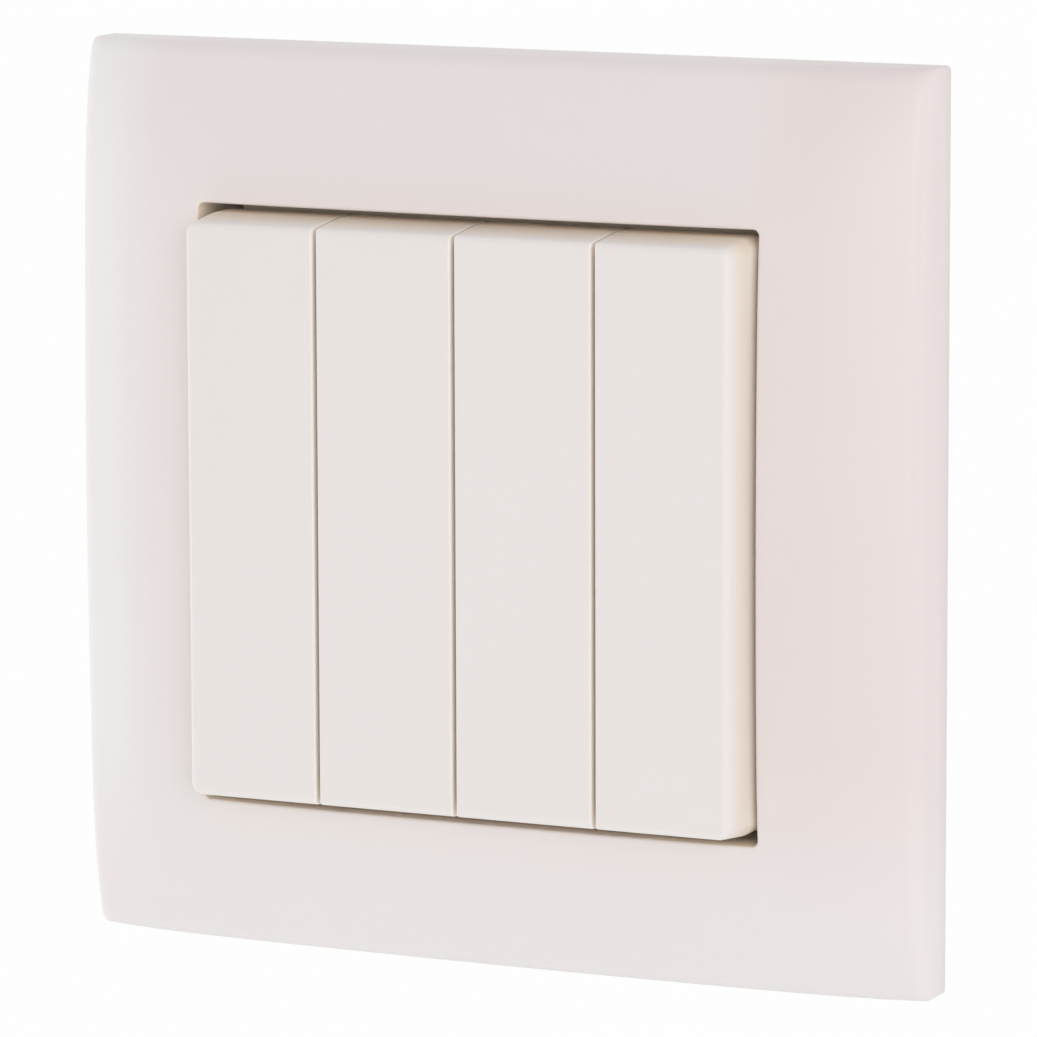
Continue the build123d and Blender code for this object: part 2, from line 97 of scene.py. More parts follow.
class Wire:
    # one value in a node tree; arithmetic on it adds Math nodes
    def __init__(self, tree, socket):
        self.tree, self.socket = tree, socket

    def calc(self, operation, a, b):
        return self.tree.node("ShaderNodeMath", {"operation": operation}, {0: a, 1: b})

    def __add__(self, other):
        return self.calc("ADD", self, other)

    def __sub__(self, other):
        return self.calc("SUBTRACT", self, other)

    def __rsub__(self, other):
        return self.calc("SUBTRACT", other, self)

    def __mul__(self, other):
        return self.calc("MULTIPLY", self, other)

    __radd__ = __add__
    __rmul__ = __mul__

    def larger(self, other):
        return self.calc("MAXIMUM", self, other)

    def backAndForth(self, span):
        # from 0 up to the span and down again, over and over
        return self.calc("PINGPONG", self, span)

    def beside(self, name):
        # another output of the same node
        return Wire(self.tree, self.socket.node.outputs[name])


class NodeTree:
    # makes and links the nodes of one tree
    def __init__(self, tree):
        self.tree = tree

    def node(self, kind, settings, sockets, out=0):
        # settings first, then the values or links of the sockets
        made = self.tree.nodes.new(kind)
        for key, value in settings.items():
            setattr(made, key, value)
        for key, value in sockets.items():
            if isinstance(value, Wire):
                self.tree.links.new(value.socket, made.inputs[key])
            else:
                made.inputs[key].default_value = value
        return Wire(self, made.outputs[out]) if made.outputs else made

    def split(self, vector):
        # the three parts of a vector
        x = self.node("ShaderNodeSeparateXYZ", {}, {0: vector}, "X")
        return x, x.beside("Y"), x.beside("Z")

    def fade(self, value, start, end):
        # 0 at the start and 1 at the end, smooth between
        settings = {"interpolation_type": "SMOOTHSTEP"}
        return self.node("ShaderNodeMapRange", settings, {"Value": value, "From Min": start, "From Max": end})

    def mix(self, factor, a, b):
        # a Mix node has its colours on inputs 6 and 7 and on output 2
        return self.node("ShaderNodeMix", {"data_type": "RGBA"}, {0: factor, 6: a, 7: b}, 2)

    def seen(self):
        # 1 for rays from the camera, a reflection or a clear body
        direct = self.node("ShaderNodeLightPath", {}, {}, "Is Camera Ray")
        return direct.larger(direct.beside("Is Glossy Ray")).larger(direct.beside("Is Transmission Ray"))


class Finish(NodeTree):
    # one material round a Principled shader; fixed values go on its own sockets
    def __init__(self, name, fixed):
        self.material = bpy.data.materials.new(name)
        self.material.use_nodes = True
        super().__init__(self.material.node_tree)
        self.shader = self.tree.nodes["Principled BSDF"]
        for socket, value in fixed.items():
            self.shader.inputs[socket].default_value = value
        self.place = self.node("ShaderNodeTexCoord", {}, {}, "Object")

    def noise(self, scale, detail=2.0, rough=0.5, place=None):
        sockets = {"Vector": place or self.place, "Scale": scale, "Detail": detail, "Roughness": rough}
        return self.node("ShaderNodeTexNoise", {}, sockets)

    def swing(self, noise, reach):
        # a noise from 0 to 1, made to swing as far below nothing as above it
        return reach * (noise - 0.5)

    def feed(self, socket, wire):
        self.tree.links.new(wire.socket, self.shader.inputs[socket])

    def bump(self, height, strength, distance):
        sockets = {"Strength": strength, "Distance": distance, "Height": height}
        self.feed("Normal", self.node("ShaderNodeBump", {}, sockets))


displayCurve = {"knee": 0.04045, "slope": 12.92, "lift": 0.055, "power": 2.4}


def shown(red, green, blue):
    # display values of 0 to 255 as linear colour: straight below the knee, a power above it
    part = np.array([red, green, blue]) / 255
    lift = displayCurve["lift"]
    curved = ((part + lift) / (1 + lift)) ** displayCurve["power"]
    linear = np.where(part <= displayCurve["knee"], part / displayCurve["slope"], curved)
    return (*linear.tolist(), 1.0)


# moulded plastics: pale and deep end of the slow clouds, painted warm light on the shaded sides of the keys,
# painted light where light would soak through into hollows, painted light beside the gaps between keys, and
# size and depth (mm) of the grain
plasticPlan = {
    "cover_plastic": {
        # the cover's bright tone is painted light inside the opening; the painted light drift across the
        # cover also mixes its pale and deep ends
        "pale": shown(234, 230, 228), "deep": shown(228, 217, 216), "paintedLight": (0.97, 0.865, 0.75, 1),
        "roughness": 0.40, "grain": 2600.0, "depth": 0.010,
    },
    "key_plastic": {
        "pale": shown(234, 229, 226), "deep": shown(232, 226, 223),
        # the key's warm tone is painted warm light on its shaded sides, its bright tone painted light deeper
        # down them, and its seam tone painted light on the rounded edges beside the gaps
        "paintedWarmLight": shown(235, 222, 208), "paintedLight": (0.97, 0.865, 0.75, 1), "paintedSeamLight": (0.92, 0.85, 0.78, 1),
        "roughness": 0.43, "grain": 2600.0, "depth": 0.010,
    },
    "lever_plastic": {
        "pale": (0.60, 0.60, 0.58, 1), "deep": (0.53, 0.53, 0.51, 1),
        "roughness": 0.50, "grain": 1800.0, "depth": 0.020,
    },
    "insert_plastic": {
        "pale": (0.94, 0.84, 0.69, 1), "deep": (0.89, 0.79, 0.64, 1),
        "roughness": 0.55, "grain": 1800.0, "depth": 0.030,
    },
    "base_plastic": {
        "pale": (0.63, 0.62, 0.59, 1), "deep": (0.56, 0.55, 0.52, 1),
        "roughness": 0.50, "grain": 1500.0, "depth": 0.035,
    },
    "plunger_plastic": {
        "pale": (0.75, 0.74, 0.70, 1), "deep": (0.68, 0.67, 0.62, 1),
        "roughness": 0.40, "grain": 1800.0, "depth": 0.020,
    },
}
mouldLook = {
    "refraction": 1.49,
    "clouds": 24.0,  # scales of the noises; a larger one is finer
    "cloudDetail": 3.0,
    # the random clouds swing this far round the painted light drift across the cover
    "cloudDrift": 0.3,  # how far the clouds swing where the colour drifts
    "grainDetail": 2.0,
    "grainRough": 0.6,
    "grainSwing": 0.05,  # of the roughness
    "grainBump": 0.3,
    "polish": 140.0,
    "polishDetail": 1.0,
    "polishSwing": 0.09,
}
coverPaintedLightDrift = {
    # painted light: how far the colour drifts to its pale end across the cover, paler to the left and low
    # down and pinker to the right as the light falls there, and where it starts and ends in mm
    "even": 0.42,
    "left": (0.55, -32.0, -39.0),
    "low": (0.18, -18.0, -36.0),
    "right": (-0.40, 24.0, 33.0),
}
paintedLightBands = {
    # each painted light tone starts at the first place and is full at the second, in mm
    # painted warm light, then painted light, down the shaded sides of the keys
    "keyPaintedWarmLight": (14.2, 12.0),  # heights on the sides of the keys
    "keyPaintedLight": (11.3, 10.3),
    # painted light on the rounded edges beside the gaps between keys
    "paintedSeamLight": (0.42, 0.18),  # distances from the middle of a gap between keys
    # painted light on the collar inside the opening, below the rim
    "rim": (28.0, openingHalf),  # distances from the middle of the cover
    "rimBack": (10.6, 9.8),  # heights inside the opening
}


def coverPaintedLight(finish):
    # painted light: smooth steps towards the left and the right, which give way to a third one low down
    x, _, z = finish.split(finish.place)
    steps = {}
    for side, place in {"left": x, "right": x, "low": z}.items():
        share, start, end = coverPaintedLightDrift[side]
        steps[side] = share, finish.fade(place, start * mm, end * mm)
    (left, toLeft), (right, toRight), (low, toLow) = steps.values()
    return coverPaintedLightDrift["even"] + low * toLow + (1 - toLow) * (left * toLeft + right * toRight)


def toneBelow(finish, value, tone):
    # 0 above a tone's start and 1 below its full place
    start, full = paintedLightBands[tone]
    return 1 - finish.fade(value, full * mm, start * mm)


def keyPaintedLightTones(finish):
    # painted light by height behind the front of the keys, warm on the shaded sides and brighter deeper down,
    # and by distance from the nearest gap, a pitch apart
    x, y, _ = finish.split(finish.place)
    height = 0 - y
    fromGap = x.backAndForth(keyPitch / 2 * mm)
    return {
        "paintedWarmLight": toneBelow(finish, height, "keyPaintedWarmLight"),
        "paintedLight": toneBelow(finish, height, "keyPaintedLight"),
        "paintedSeamLight": toneBelow(finish, fromGap, "paintedSeamLight"),
    }


def collarPaintedLight(finish):
    # painted light inside the opening, deeper than the rim: the larger of the two distances from the middle
    # is under the rim's
    size = finish.node("ShaderNodeVectorMath", {"operation": "ABSOLUTE"}, {0: finish.place})
    x, _, z = finish.split(size)
    _, y, _ = finish.split(finish.place)
    inside = toneBelow(finish, x.larger(z), "rim")
    return {"paintedLight": inside * toneBelow(finish, 0 - y, "rimBack")}


def mouldedPlastic(name, plan, look, paintedLightTones, paintedDrift):
    # slow clouds of colour, painted light drifted across them and laid in the sunk places where asked, a fine
    # eroded grain, and polish that comes and goes a little
    finish = Finish(name, {"IOR": look["refraction"]})
    clouds = finish.noise(look["clouds"], look["cloudDetail"])
    # painted light: where asked, the clouds also drift towards the pale end as the light falls
    if paintedDrift:
        clouds = finish.swing(clouds, look["cloudDrift"]) + paintedDrift(finish)
    grain = finish.noise(plan["grain"], look["grainDetail"], look["grainRough"])
    polish = finish.noise(look["polish"], look["polishDetail"])
    colour = finish.mix(clouds, plan["deep"], plan["pale"])
    # painted light in sunk places, laid over the clouds
    tones = paintedLightTones(finish) if paintedLightTones else {}
    for tone, share in tones.items():
        colour = finish.mix(share, colour, plan[tone])
    finish.feed("Base Color", colour)
    uneven = finish.swing(polish, look["polishSwing"]) + finish.swing(grain, look["grainSwing"])
    finish.feed("Roughness", plan["roughness"] + uneven)
    finish.bump(grain, look["grainBump"], plan["depth"] * mm)
    return finish.material


# metals: pale and deep end of the tarnish, and how fine the drawn lines are on each axis
metalPlan = {
    "ring_steel": {
        "pale": (0.58, 0.59, 0.60, 1), "deep": (0.47, 0.48, 0.49, 1), "roughness": 0.40,
        "lines": (60.0, 2200.0, 2200.0), "clouds": 60.0,
    },
    "screw_steel": {
        "pale": (0.66, 0.61, 0.46, 1), "deep": (0.52, 0.48, 0.37, 1), "roughness": 0.34,
        "lines": (900.0, 60.0, 900.0), "clouds": 300.0,
    },
    "spring_steel": {
        "pale": (0.60, 0.61, 0.62, 1), "deep": (0.44, 0.45, 0.46, 1), "roughness": 0.28,
        "lines": (1500.0, 1500.0, 300.0), "clouds": 260.0,
    },
    "contact_brass": {
        "pale": (0.76, 0.56, 0.24, 1), "deep": (0.60, 0.42, 0.17, 1), "roughness": 0.32,
        "lines": (1400.0, 60.0, 120.0), "clouds": 160.0,
    },
    "contact_silver": {
        "pale": (0.88, 0.88, 0.86, 1), "deep": (0.70, 0.70, 0.69, 1), "roughness": 0.30,
        "lines": (1200.0, 1200.0, 300.0), "clouds": 500.0,
    },
}
rollLook = {
    "lineDetail": 3.0,
    "lineRough": 0.6,
    "lineSwing": 0.14,  # of the roughness
    "lineBump": 0.25,
    "lineDepth": 0.008,  # mm
    "cloudDetail": 4.0,
    "cloudRough": 0.65,
    "cloudSwing": 0.16,
}


def rolledMetal(name, plan, look):
    # fine lines drawn along one axis, under clouds of dull plating
    finish = Finish(name, {"Metallic": 1.0})
    stretched = finish.node("ShaderNodeMapping", {}, {"Vector": finish.place, "Scale": plan["lines"]})
    lines = finish.noise(1.0, look["lineDetail"], look["lineRough"], stretched)
    clouds = finish.noise(plan["clouds"], look["cloudDetail"], look["cloudRough"])
    finish.feed("Base Color", finish.mix(clouds, plan["deep"], plan["pale"]))
    uneven = finish.swing(lines, look["lineSwing"]) + finish.swing(clouds, look["cloudSwing"])
    finish.feed("Roughness", plan["roughness"] + uneven)
    finish.bump(lines, look["lineBump"], look["lineDepth"] * mm)
    return finish.material


# painted light in the sunk places of the keys and the opening, and painted light drifting across the cover
paintedLightPlaces = {"cover_plastic": collarPaintedLight, "key_plastic": keyPaintedLightTones}
paintedLightDrifts = {"cover_plastic": coverPaintedLight}
finishes = {name: rolledMetal(name, plan, rollLook) for name, plan in metalPlan.items()}
for name, plan in plasticPlan.items():
    finishes[name] = mouldedPlastic(name, plan, mouldLook, paintedLightPlaces.get(name), paintedLightDrifts.get(name))


def dress(piece, slotName):
    # one finish all over
    piece.data.materials.clear()
    piece.data.materials.append(finishes[slotName])


nodeSlots = {row["node"]: row["material_slot"] for row in frame["record"]["subparts"]}
for node, slotName in nodeSlots.items():
    dress(frame["nodes"][node], slotName)
print("finishes made:", len(finishes))


def gridFaces(rows, columns, closedRows):
    # quads of a grid of loops; the columns always close, the rows where asked
    i, j = np.meshgrid(np.arange(rows if closedRows else rows - 1), np.arange(columns), indexing="ij")
    below, beside = (i + 1) % rows, (j + 1) % columns
    corners = [i * columns + j, below * columns + j, below * columns + beside, i * columns + beside]
    return np.stack(corners, axis=-1).reshape(-1, 4)


def cappedTube(loops):
    # loops (rows, columns, 3) joined in order and capped; they run anticlockwise seen from the last
    rows, columns, _ = loops.shape
    first = np.arange(columns)
    quads = gridFaces(rows, columns, False)[:, ::-1]
    caps = [first[::-1].tolist(), (first + (rows - 1) * columns).tolist()]
    return loops.reshape(-1, 3), quads.tolist() + caps


def evenSteps(end, count):
    # from 0 towards the end, which belongs to the next stretch of a loop
    return np.linspace(0, end, count + 1)[:-1]


def roundedLoops(x0, x1, z0, z1, radii, share, turns):
    # rounded rectangles, one a row: four sides joined by quarter circles, each corner with its own radius
    x0, x1, z0, z1 = (v[:, None] for v in (x0, x1, z0, z1))
    topRight, topLeft, lowLeft, lowRight = (v[:, None] for v in radii)
    wide, tall = np.cos(turns), np.sin(turns)

    def run(a, b):
        return a + (b - a) * share

    level = 0 * share
    # right side, top right corner, and on round to the lower right corner
    x = [
        x1 + level,
        x1 - topRight + topRight * wide,
        run(x1 - topRight, x0 + topLeft),
        x0 + topLeft - topLeft * tall,
        x0 + level,
        x0 + lowLeft - lowLeft * wide,
        run(x0 + lowLeft, x1 - lowRight),
        x1 - lowRight + lowRight * tall,
    ]
    z = [
        run(z0 + lowRight, z1 - topRight),
        z1 - topRight + topRight * tall,
        z1 + level,
        z1 - topLeft + topLeft * wide,
        run(z1 - topLeft, z0 + lowLeft),
        z0 + lowLeft - lowLeft * tall,
        z0 + level,
        z0 + lowRight - lowRight * wide,
    ]
    return np.hstack(x), np.hstack(z)


def prisms(outline, start, end):
    # closed outlines of equal length (n, k, 2) carried from start to end of X; gives points and faces
    count, size, _ = outline.shape
    xs = [np.broadcast_to(np.reshape(e, (-1, 1)), (count, size)) for e in (start, end)]
    points = np.concatenate([np.dstack([x, outline]) for x in xs], axis=1).reshape(-1, 3)
    step = np.arange(count)[:, None, None] * 2 * size
    k = np.arange(size)
    sides = np.stack([k, (k + 1) % size, (k + 1) % size + size, k + size], axis=-1)[None] + step
    caps = np.stack([k[::-1], k + size])[None] + step
    return points, sides.reshape(-1, 4).tolist() + caps.reshape(-1, size).tolist()


def boxes(low, high):
    # rectangular bars from their lowest and highest corners
    low, high = np.asarray(low, float), np.asarray(high, float)
    y0, z0, y1, z1 = low[:, 1], low[:, 2], high[:, 1], high[:, 2]
    outline = np.stack([np.stack([y0, y1, y1, y0], -1), np.stack([z0, z0, z1, z1], -1)], -1)
    return prisms(outline, low[:, 0], high[:, 0])


def joined(*meshes):
    # several point and face lists as one, with each list's faces counted on from the last
    points, faces, count = [], [], 0
    for p, f in meshes:
        points.append(p)
        faces += [[v + count for v in face] for face in f]
        count += len(p)
    return np.vstack(points), faces


sharpAngle = 32.0  # degrees between faces from which an edge is shaded crisp


def putPiece(name, points, faces, slotName, body):
    # points in millimetres; faces is a list of quads and caps
    mesh = bpy.data.meshes.new(name)
    mesh.from_pydata((np.asarray(points) * mm).tolist(), [], faces)
    mesh.polygons.foreach_set("use_smooth", np.ones(len(mesh.polygons), bool))
    mesh.set_sharp_from_angle(angle=math.radians(sharpAngle))
    piece = bpy.data.objects.new(name, mesh)
    scene.collection.objects.link(piece)
    dress(piece, slotName)
    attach(piece, body)
    return piece


# cover frame, in mm; heights are measured from the wall
coverShape = {
    "half": 42.0,
    "corner": 0.45,  # radius of the outer corners at the side
    "frontCorner": 1.15,  # the same at the start of the edge's rounding
    "edge": 1.25,  # rounding of the outer edge
    "opening": openingHalf,
    "openingCorner": 0.6,
    "rim": 0.28,  # rounding round the opening
    "crown": 11.75,
    "bow": 1.13,  # how far the crown drops to the middle of a side
    "fall": 3.69,  # and how much more by the edge
    "fallStart": 23.4,
    "squareness": 10.0,  # power of the rounded square that the fall follows
    "wall": 2.0,
    "wallRow": 3.0,  # height of a row of points up the side
    "backEdge": 0.25,  # rounding at the wall, and its middle point
    "backEdgeMiddle": (0.08, 0.07),
    "channel": 4.6,  # heights of the two hollows in the back
    "pocket": 6.4,
    "locatingOuter": 37.3,
    "locatingInner": 36.1,
    "locatingBack": 0.2,
    "collar": 1.6,
    "collarBack": 1.0,
    "collarRow": 7.0,  # height of a row of points up the collar
    "reliefBack": 4.0,  # room for the heads of the box screws
    "reliefHalf": 4.5,
    "reliefWall": 0.0002,  # thickness of its walls, as a part of half a side
    "ribPlaces": (-22.0, -10.0, 10.0, 22.0),
    "ribThick": 1.0,
    "ribBack": 3.0,
    "ribSink": 0.2,  # how far a rib runs into what carries it
    "snapPlaces": (-12.0, 12.0),
    "snapLength": 7.0,
    "snapDepth": 0.9,
    "snapBack": 1.1,
    "snapFront": 2.2,
    "roundPoints": 9,
    "acrossPoints": 30,
    "sideSteps": 48,
    "cornerSteps": 8,
}


def crownHeight(x, z, s):
    # bow: parabola both ways; fall: square of the distance outside a rounded square
    bow = s["bow"] * ((x / s["half"]) ** 2 + (z / s["half"]) ** 2)
    square = (np.abs(x) ** s["squareness"] + np.abs(z) ** s["squareness"]) ** (1 / s["squareness"])
    outside = np.maximum(square - s["fallStart"], 0) / (s["half"] - s["fallStart"])
    return s["crown"] - bow - s["fall"] * outside**2


def coverProfile(s):
    # section of the frame as half-size and drop below the crown, then half-size and height at the back
    half, opening, channel, pocket = (s[k] for k in ("half", "opening", "channel", "pocket"))
    quarter = np.linspace(0, math.pi / 2, s["roundPoints"])
    rim = np.column_stack([opening + s["rim"] * (1 - np.cos(quarter)), s["rim"] * (1 - np.sin(quarter))])
    edge = np.column_stack([half - s["edge"] * (1 - np.sin(quarter)), s["edge"] * (1 - np.cos(quarter))])
    across = np.linspace(rim[-1, 0], edge[0, 0], s["acrossPoints"])[1:-1]
    front = np.vstack([rim, np.column_stack([across, 0 * across]), edge])
    wallIn = half - s["wall"]
    collarOut = opening + s["collar"]
    cutIn, cutUp = s["backEdgeMiddle"]
    back = np.array([
        (half, s["wallRow"]), (half, s["backEdge"]), (half - cutIn, cutUp), (half - s["backEdge"], 0.0),
        (wallIn, 0.0), (wallIn, channel),
        (s["locatingOuter"], channel), (s["locatingOuter"], s["locatingBack"]),
        (s["locatingInner"], s["locatingBack"]), (s["locatingInner"], pocket),
        (collarOut, pocket), (collarOut, s["collarBack"]),
        (opening, s["collarBack"]), (opening, s["collarRow"]),
    ])
    return front, back


def coverCorners(front, back, s):
    # corner radius of each loop: runs evenly from the opening out to the edge, and then to the side's
    # as the edge turns down; at the back it runs evenly from the opening out to the side
    edgeStart = s["half"] - s["edge"]
    outward = np.clip((front[:, 0] - s["opening"]) / (edgeStart - s["opening"]), 0, 1)
    turned = np.where(front[:, 0] > edgeStart, front[:, 1] / s["edge"], 0)
    frontRadii = s["openingCorner"] + outward * (s["frontCorner"] - s["openingCorner"])
    frontRadii += turned * (s["corner"] - s["frontCorner"])
    fromOpening = (back[:, 0] - s["opening"]) / (s["half"] - s["opening"])
    backRadii = s["openingCorner"] + fromOpening * (s["corner"] - s["openingCorner"])
    return np.concatenate([frontRadii, backRadii])


def makeCover(s):
    # the section carried round rounded squares, its front part laid on the crown
    front, back = coverProfile(s)
    half = np.concatenate([front[:, 0], back[:, 0]])
    corner = coverCorners(front, back, s)
    # each side has extra columns where the room for a screw head starts and ends
    roomEnd = s["reliefHalf"] / (s["opening"] - s["openingCorner"])
    wallEnd = roomEnd + s["reliefWall"]
    room = (1 + np.array([-wallEnd, -roomEnd, roomEnd, wallEnd])) / 2
    share = np.unique(np.concatenate([evenSteps(1, s["sideSteps"]), room]))
    turns = evenSteps(math.pi / 2, s["cornerSteps"])
    x, z = roundedLoops(-half, half, -half, half, [corner] * 4, share, turns)
    height = np.empty_like(x)
    count = len(front)
    height[:count] = crownHeight(x[:count], z[:count], s) - front[:, 1:]
    height[count:] = back[:, 1:]
    inRoom = np.abs(2 * share - 1) < (roomEnd + wallEnd) / 2
    column = np.tile(np.concatenate([inRoom, np.zeros(len(turns), bool)]), 4)
    row = np.where(back[:, 1] == s["collarBack"])[0] + count
    height[np.ix_(row, column)] = s["reliefBack"]
    points = np.stack([x, -height, z], axis=-1).reshape(-1, 3)
    faces = gridFaces(*x.shape, True)
    cover = putPiece("coverShell", points, faces.tolist(), "cover_plastic", "insert")
    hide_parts("cover_frame")


def makeCoverRibs(s):
    # bars: stiffening ribs across the pocket and the channel, and snap ribs on the collar
    sink = s["ribSink"]
    wallIn, collarOut = s["half"] - s["wall"], s["opening"] + s["collar"]
    pocket = (collarOut - sink, s["locatingInner"] + sink, s["pocket"])
    channel = (s["locatingOuter"] - sink, wallIn + sink, s["channel"])
    low, high = [], []
    for start, end, ceiling in (pocket, channel):
        for a, b in ((start, end), (-end, -start)):
            for p in s["ribPlaces"]:
                thin = (p - s["ribThick"] / 2, p + s["ribThick"] / 2)
                low += [(thin[0], -ceiling - sink, a), (a, -ceiling - sink, thin[0])]
                high += [(thin[1], -s["ribBack"], b), (b, -s["ribBack"], thin[1])]
    for side in (-1, 1):
        wall, tip = side * (s["opening"] + sink), side * (s["opening"] - s["snapDepth"])
        for p in s["snapPlaces"]:
            low.append((min(wall, tip), -s["snapFront"], p - s["snapLength"] / 2))
            high.append((max(wall, tip), -s["snapBack"], p + s["snapLength"] / 2))
    putPiece("coverRibs", *boxes(low, high), "cover_plastic", "insert")


makeCover(coverShape)
makeCoverRibs(coverShape)
print("cover frame made")

# push keys, in mm; heights are measured from the wall
keyShape = {
    "pitch": keyPitch,
    "gap": 0.36,
    "count": 4,
    "blockHeight": 54.0,  # from the lower to the upper end of a key
    "front": 14.9,
    "skirt": 7.2,
    "skirtEdge": 0.12,  # bevel at the back of the skirt
    "taperStart": 10.0,
    "taper": 6.4,  # degrees
    "corner": 1.55,
    "edge": 0.7,  # rounding of the outer front edges
    "gapEdge": 0.25,  # rounding beside the gaps
    "gapCorner": 0.12,
    "wall": 1.3,
    "ceiling": 13.1,  # of the hollow inside
    "ceilingEdge": (0.1, 0.3),  # bevel round the ceiling: inwards and back
    "hollowCorner": 0.3,
    "ribHeight": 21.0,
    "ribDepth": 3.0,
    "ribThick": 1.0,
    "ribSink": 0.2,  # how far a rib or hook runs into the ceiling
    "guidePlace": 4.1,
    "guideHeight": 7.0,
    "guideLength": 3.0,
    "guideBack": 11.1,
    "hookWidth": 3.0,
    "hookInside": 16.1,
    "hookLeg": 1.1,
    "hookCatch": 10.5,
    "hookBarb": 0.6,
    "hookBack": 9.4,
    "edgePoints": 15,
    "sideSteps": 8,
    "cornerSteps": 8,
}


def keyRows(s):
    # height, inset of the tapered sides and inset of the gap sides, from the skirt to the front:
    # a straight skirt, a leaning side, and an arc from the lean round to the front face
    lean = math.radians(s["taper"])
    turn = np.linspace(lean, math.pi / 2, s["edgePoints"])
    middle = s["front"] - s["edge"]
    arcMiddle = (middle - s["taperStart"]) * math.tan(lean) + s["edge"] / math.cos(lean)
    straight = [s["skirt"], s["skirt"] + s["skirtEdge"], s["taperStart"]]
    height = np.concatenate([straight, middle + s["edge"] * np.sin(turn)])
    outer = np.concatenate([[s["skirtEdge"], 0.0, 0.0], arcMiddle - s["edge"] * np.cos(turn)])
    rise = np.clip((height - s["front"]) / s["gapEdge"] + 1, 0, 1)
    gap = s["gapEdge"] * (1 - np.sqrt(1 - rise**2))
    gap[0] = s["skirtEdge"]
    return height, outer, gap


def keyInside(x, s):
    # bars and prisms: cross ribs, guide ribs beside the lever plate and the two clip hooks
    width, root = s["pitch"] - s["gap"], -s["ceiling"] - s["ribSink"]
    half, thin = (width - s["wall"]) / 2, s["ribThick"] / 2
    low, high = [], []
    for end in (-1, 1):
        rib = end * s["ribHeight"]
        low.append((x - half, root, rib - thin))
        high.append((x + half, -s["ceiling"] + s["ribDepth"], rib + thin))
        for side in (-1, 1):
            guide, tall = x + side * s["guidePlace"], end * s["guideHeight"]
            low.append((guide - thin, root, tall - s["guideLength"] / 2))
            high.append((guide + thin, -s["guideBack"], tall + s["guideLength"] / 2))
    inside, outside = s["hookInside"], s["hookInside"] + s["hookLeg"]
    upper = np.array([
        (root, inside), (-s["hookCatch"], inside), (-s["hookCatch"], inside - s["hookBarb"]),
        (-s["hookBack"], inside), (-s["hookBack"], outside), (root, outside),
    ])
    lower = (upper * [1, -1])[::-1]  # mirrored, so run the other way round
    hooks = prisms(np.stack([lower, upper]), x - s["hookWidth"] / 2, x + s["hookWidth"] / 2)
    return boxes(low, high), hooks


def makeKey(n, s):
    # rounded rectangles stacked from the ceiling of the hollow, round the skirt, up to the front face
    x = (n - (s["count"] + 1) / 2) * s["pitch"]
    half, tall = (s["pitch"] - s["gap"]) / 2, s["blockHeight"] / 2
    height, outer, gap = keyRows(s)
    left = outer if n == 1 else gap
    right = outer if n == s["count"] else gap
    bevelIn, bevelBack = s["ceilingEdge"]
    hollow = np.array([s["ceiling"], s["ceiling"] - bevelBack, s["skirt"]])
    inset = np.array([bevelIn, 0.0, 0.0])
    inX = half - s["wall"] - inset
    inZ = tall - 2 * s["wall"] - inset  # the ends are two walls thick
    small = np.full(len(height), s["gapCorner"])
    large = np.maximum(s["corner"] - outer, s["gapCorner"] / 2)
    leftCorner, rightCorner = (large if n == end else small for end in (1, s["count"]))
    inside = np.full(len(hollow), s["hollowCorner"])
    radii = [np.concatenate([inside, c]) for c in (rightCorner, leftCorner, leftCorner, rightCorner)]
    xs, zs = roundedLoops(
        np.concatenate([x - inX, x - half + left]), np.concatenate([x + inX, x + half - right]),
        np.concatenate([-inZ, -tall + outer]), np.concatenate([inZ, tall - outer]),
        radii, evenSteps(1, s["sideSteps"]), evenSteps(math.pi / 2, s["cornerSteps"]),
    )
    ys = np.broadcast_to(-np.concatenate([hollow, height])[:, None], xs.shape)
    shell = cappedTube(np.stack([xs, ys, zs], axis=-1))
    key = putPiece("pushKey%d" % n, *joined(shell, *keyInside(x, s)), "key_plastic", "key_%d" % n)
    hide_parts("push_key_%d" % n)


for n in range(1, keyShape["count"] + 1):
    makeKey(n, keyShape)
print("keys made")

# return springs, in mm
springShape = {
    "pitch": 12.3,
    "count": 4,
    "radius": 1.7,
    "wire": 0.24,  # half the thickness of the wire
    "turns": 5.0,
    "endTurns": 0.85,  # closed turns at each end
    "closedRise": 0.35,  # rise of a closed turn, where an open one has 1 more
    "openPower": 3,  # how late the end turns open up
    "back": 15.1,
    "front": 9.0,
    "travel": 0.8,
    "turnSteps": 40,
    "wireSides": 12,
}


def makeSpring(n, s):
    # a circle carried along a helix, whose rise is small at both ends and grows with a power further in
    x = (n - (s["count"] + 1) / 2) * s["pitch"]
    turn = np.linspace(0, s["turns"], int(s["turnSteps"] * s["turns"]) + 1)
    spread = np.interp(turn, [0, s["endTurns"], s["turns"] - s["endTurns"], s["turns"]], [0, 1, 1, 0])
    speed = s["closedRise"] + spread ** s["openPower"]
    rise = np.concatenate([[0], np.cumsum((speed[1:] + speed[:-1]) / 2)])
    length = s["back"] - s["front"] - 2 * s["wire"]
    y = s["back"] - s["wire"] - length * rise / rise[-1]
    angle = 2 * math.pi * turn
    path = np.stack([x + s["radius"] * np.cos(angle), y, s["radius"] * np.sin(angle)], axis=-1)
    along = np.gradient(path, axis=0)
    along /= np.linalg.norm(along, axis=1, keepdims=True)
    outward = np.stack([np.cos(angle), 0 * angle, np.sin(angle)], axis=-1)
    side = np.cross(along, outward)
    around = evenSteps(2 * math.pi, s["wireSides"])[None, :, None]
    ring = np.cos(around) * outward[:, None] + np.sin(around) * side[:, None]
    points, faces = cappedTube(path[:, None] + s["wire"] * ring)
    spring = putPiece("returnSpring%d" % n, points, faces, "spring_steel", "insert")
    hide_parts("return_spring_%d" % n)
    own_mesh(spring)


for n in range(1, springShape["count"] + 1):
    makeSpring(n, springShape)
print("springs made")

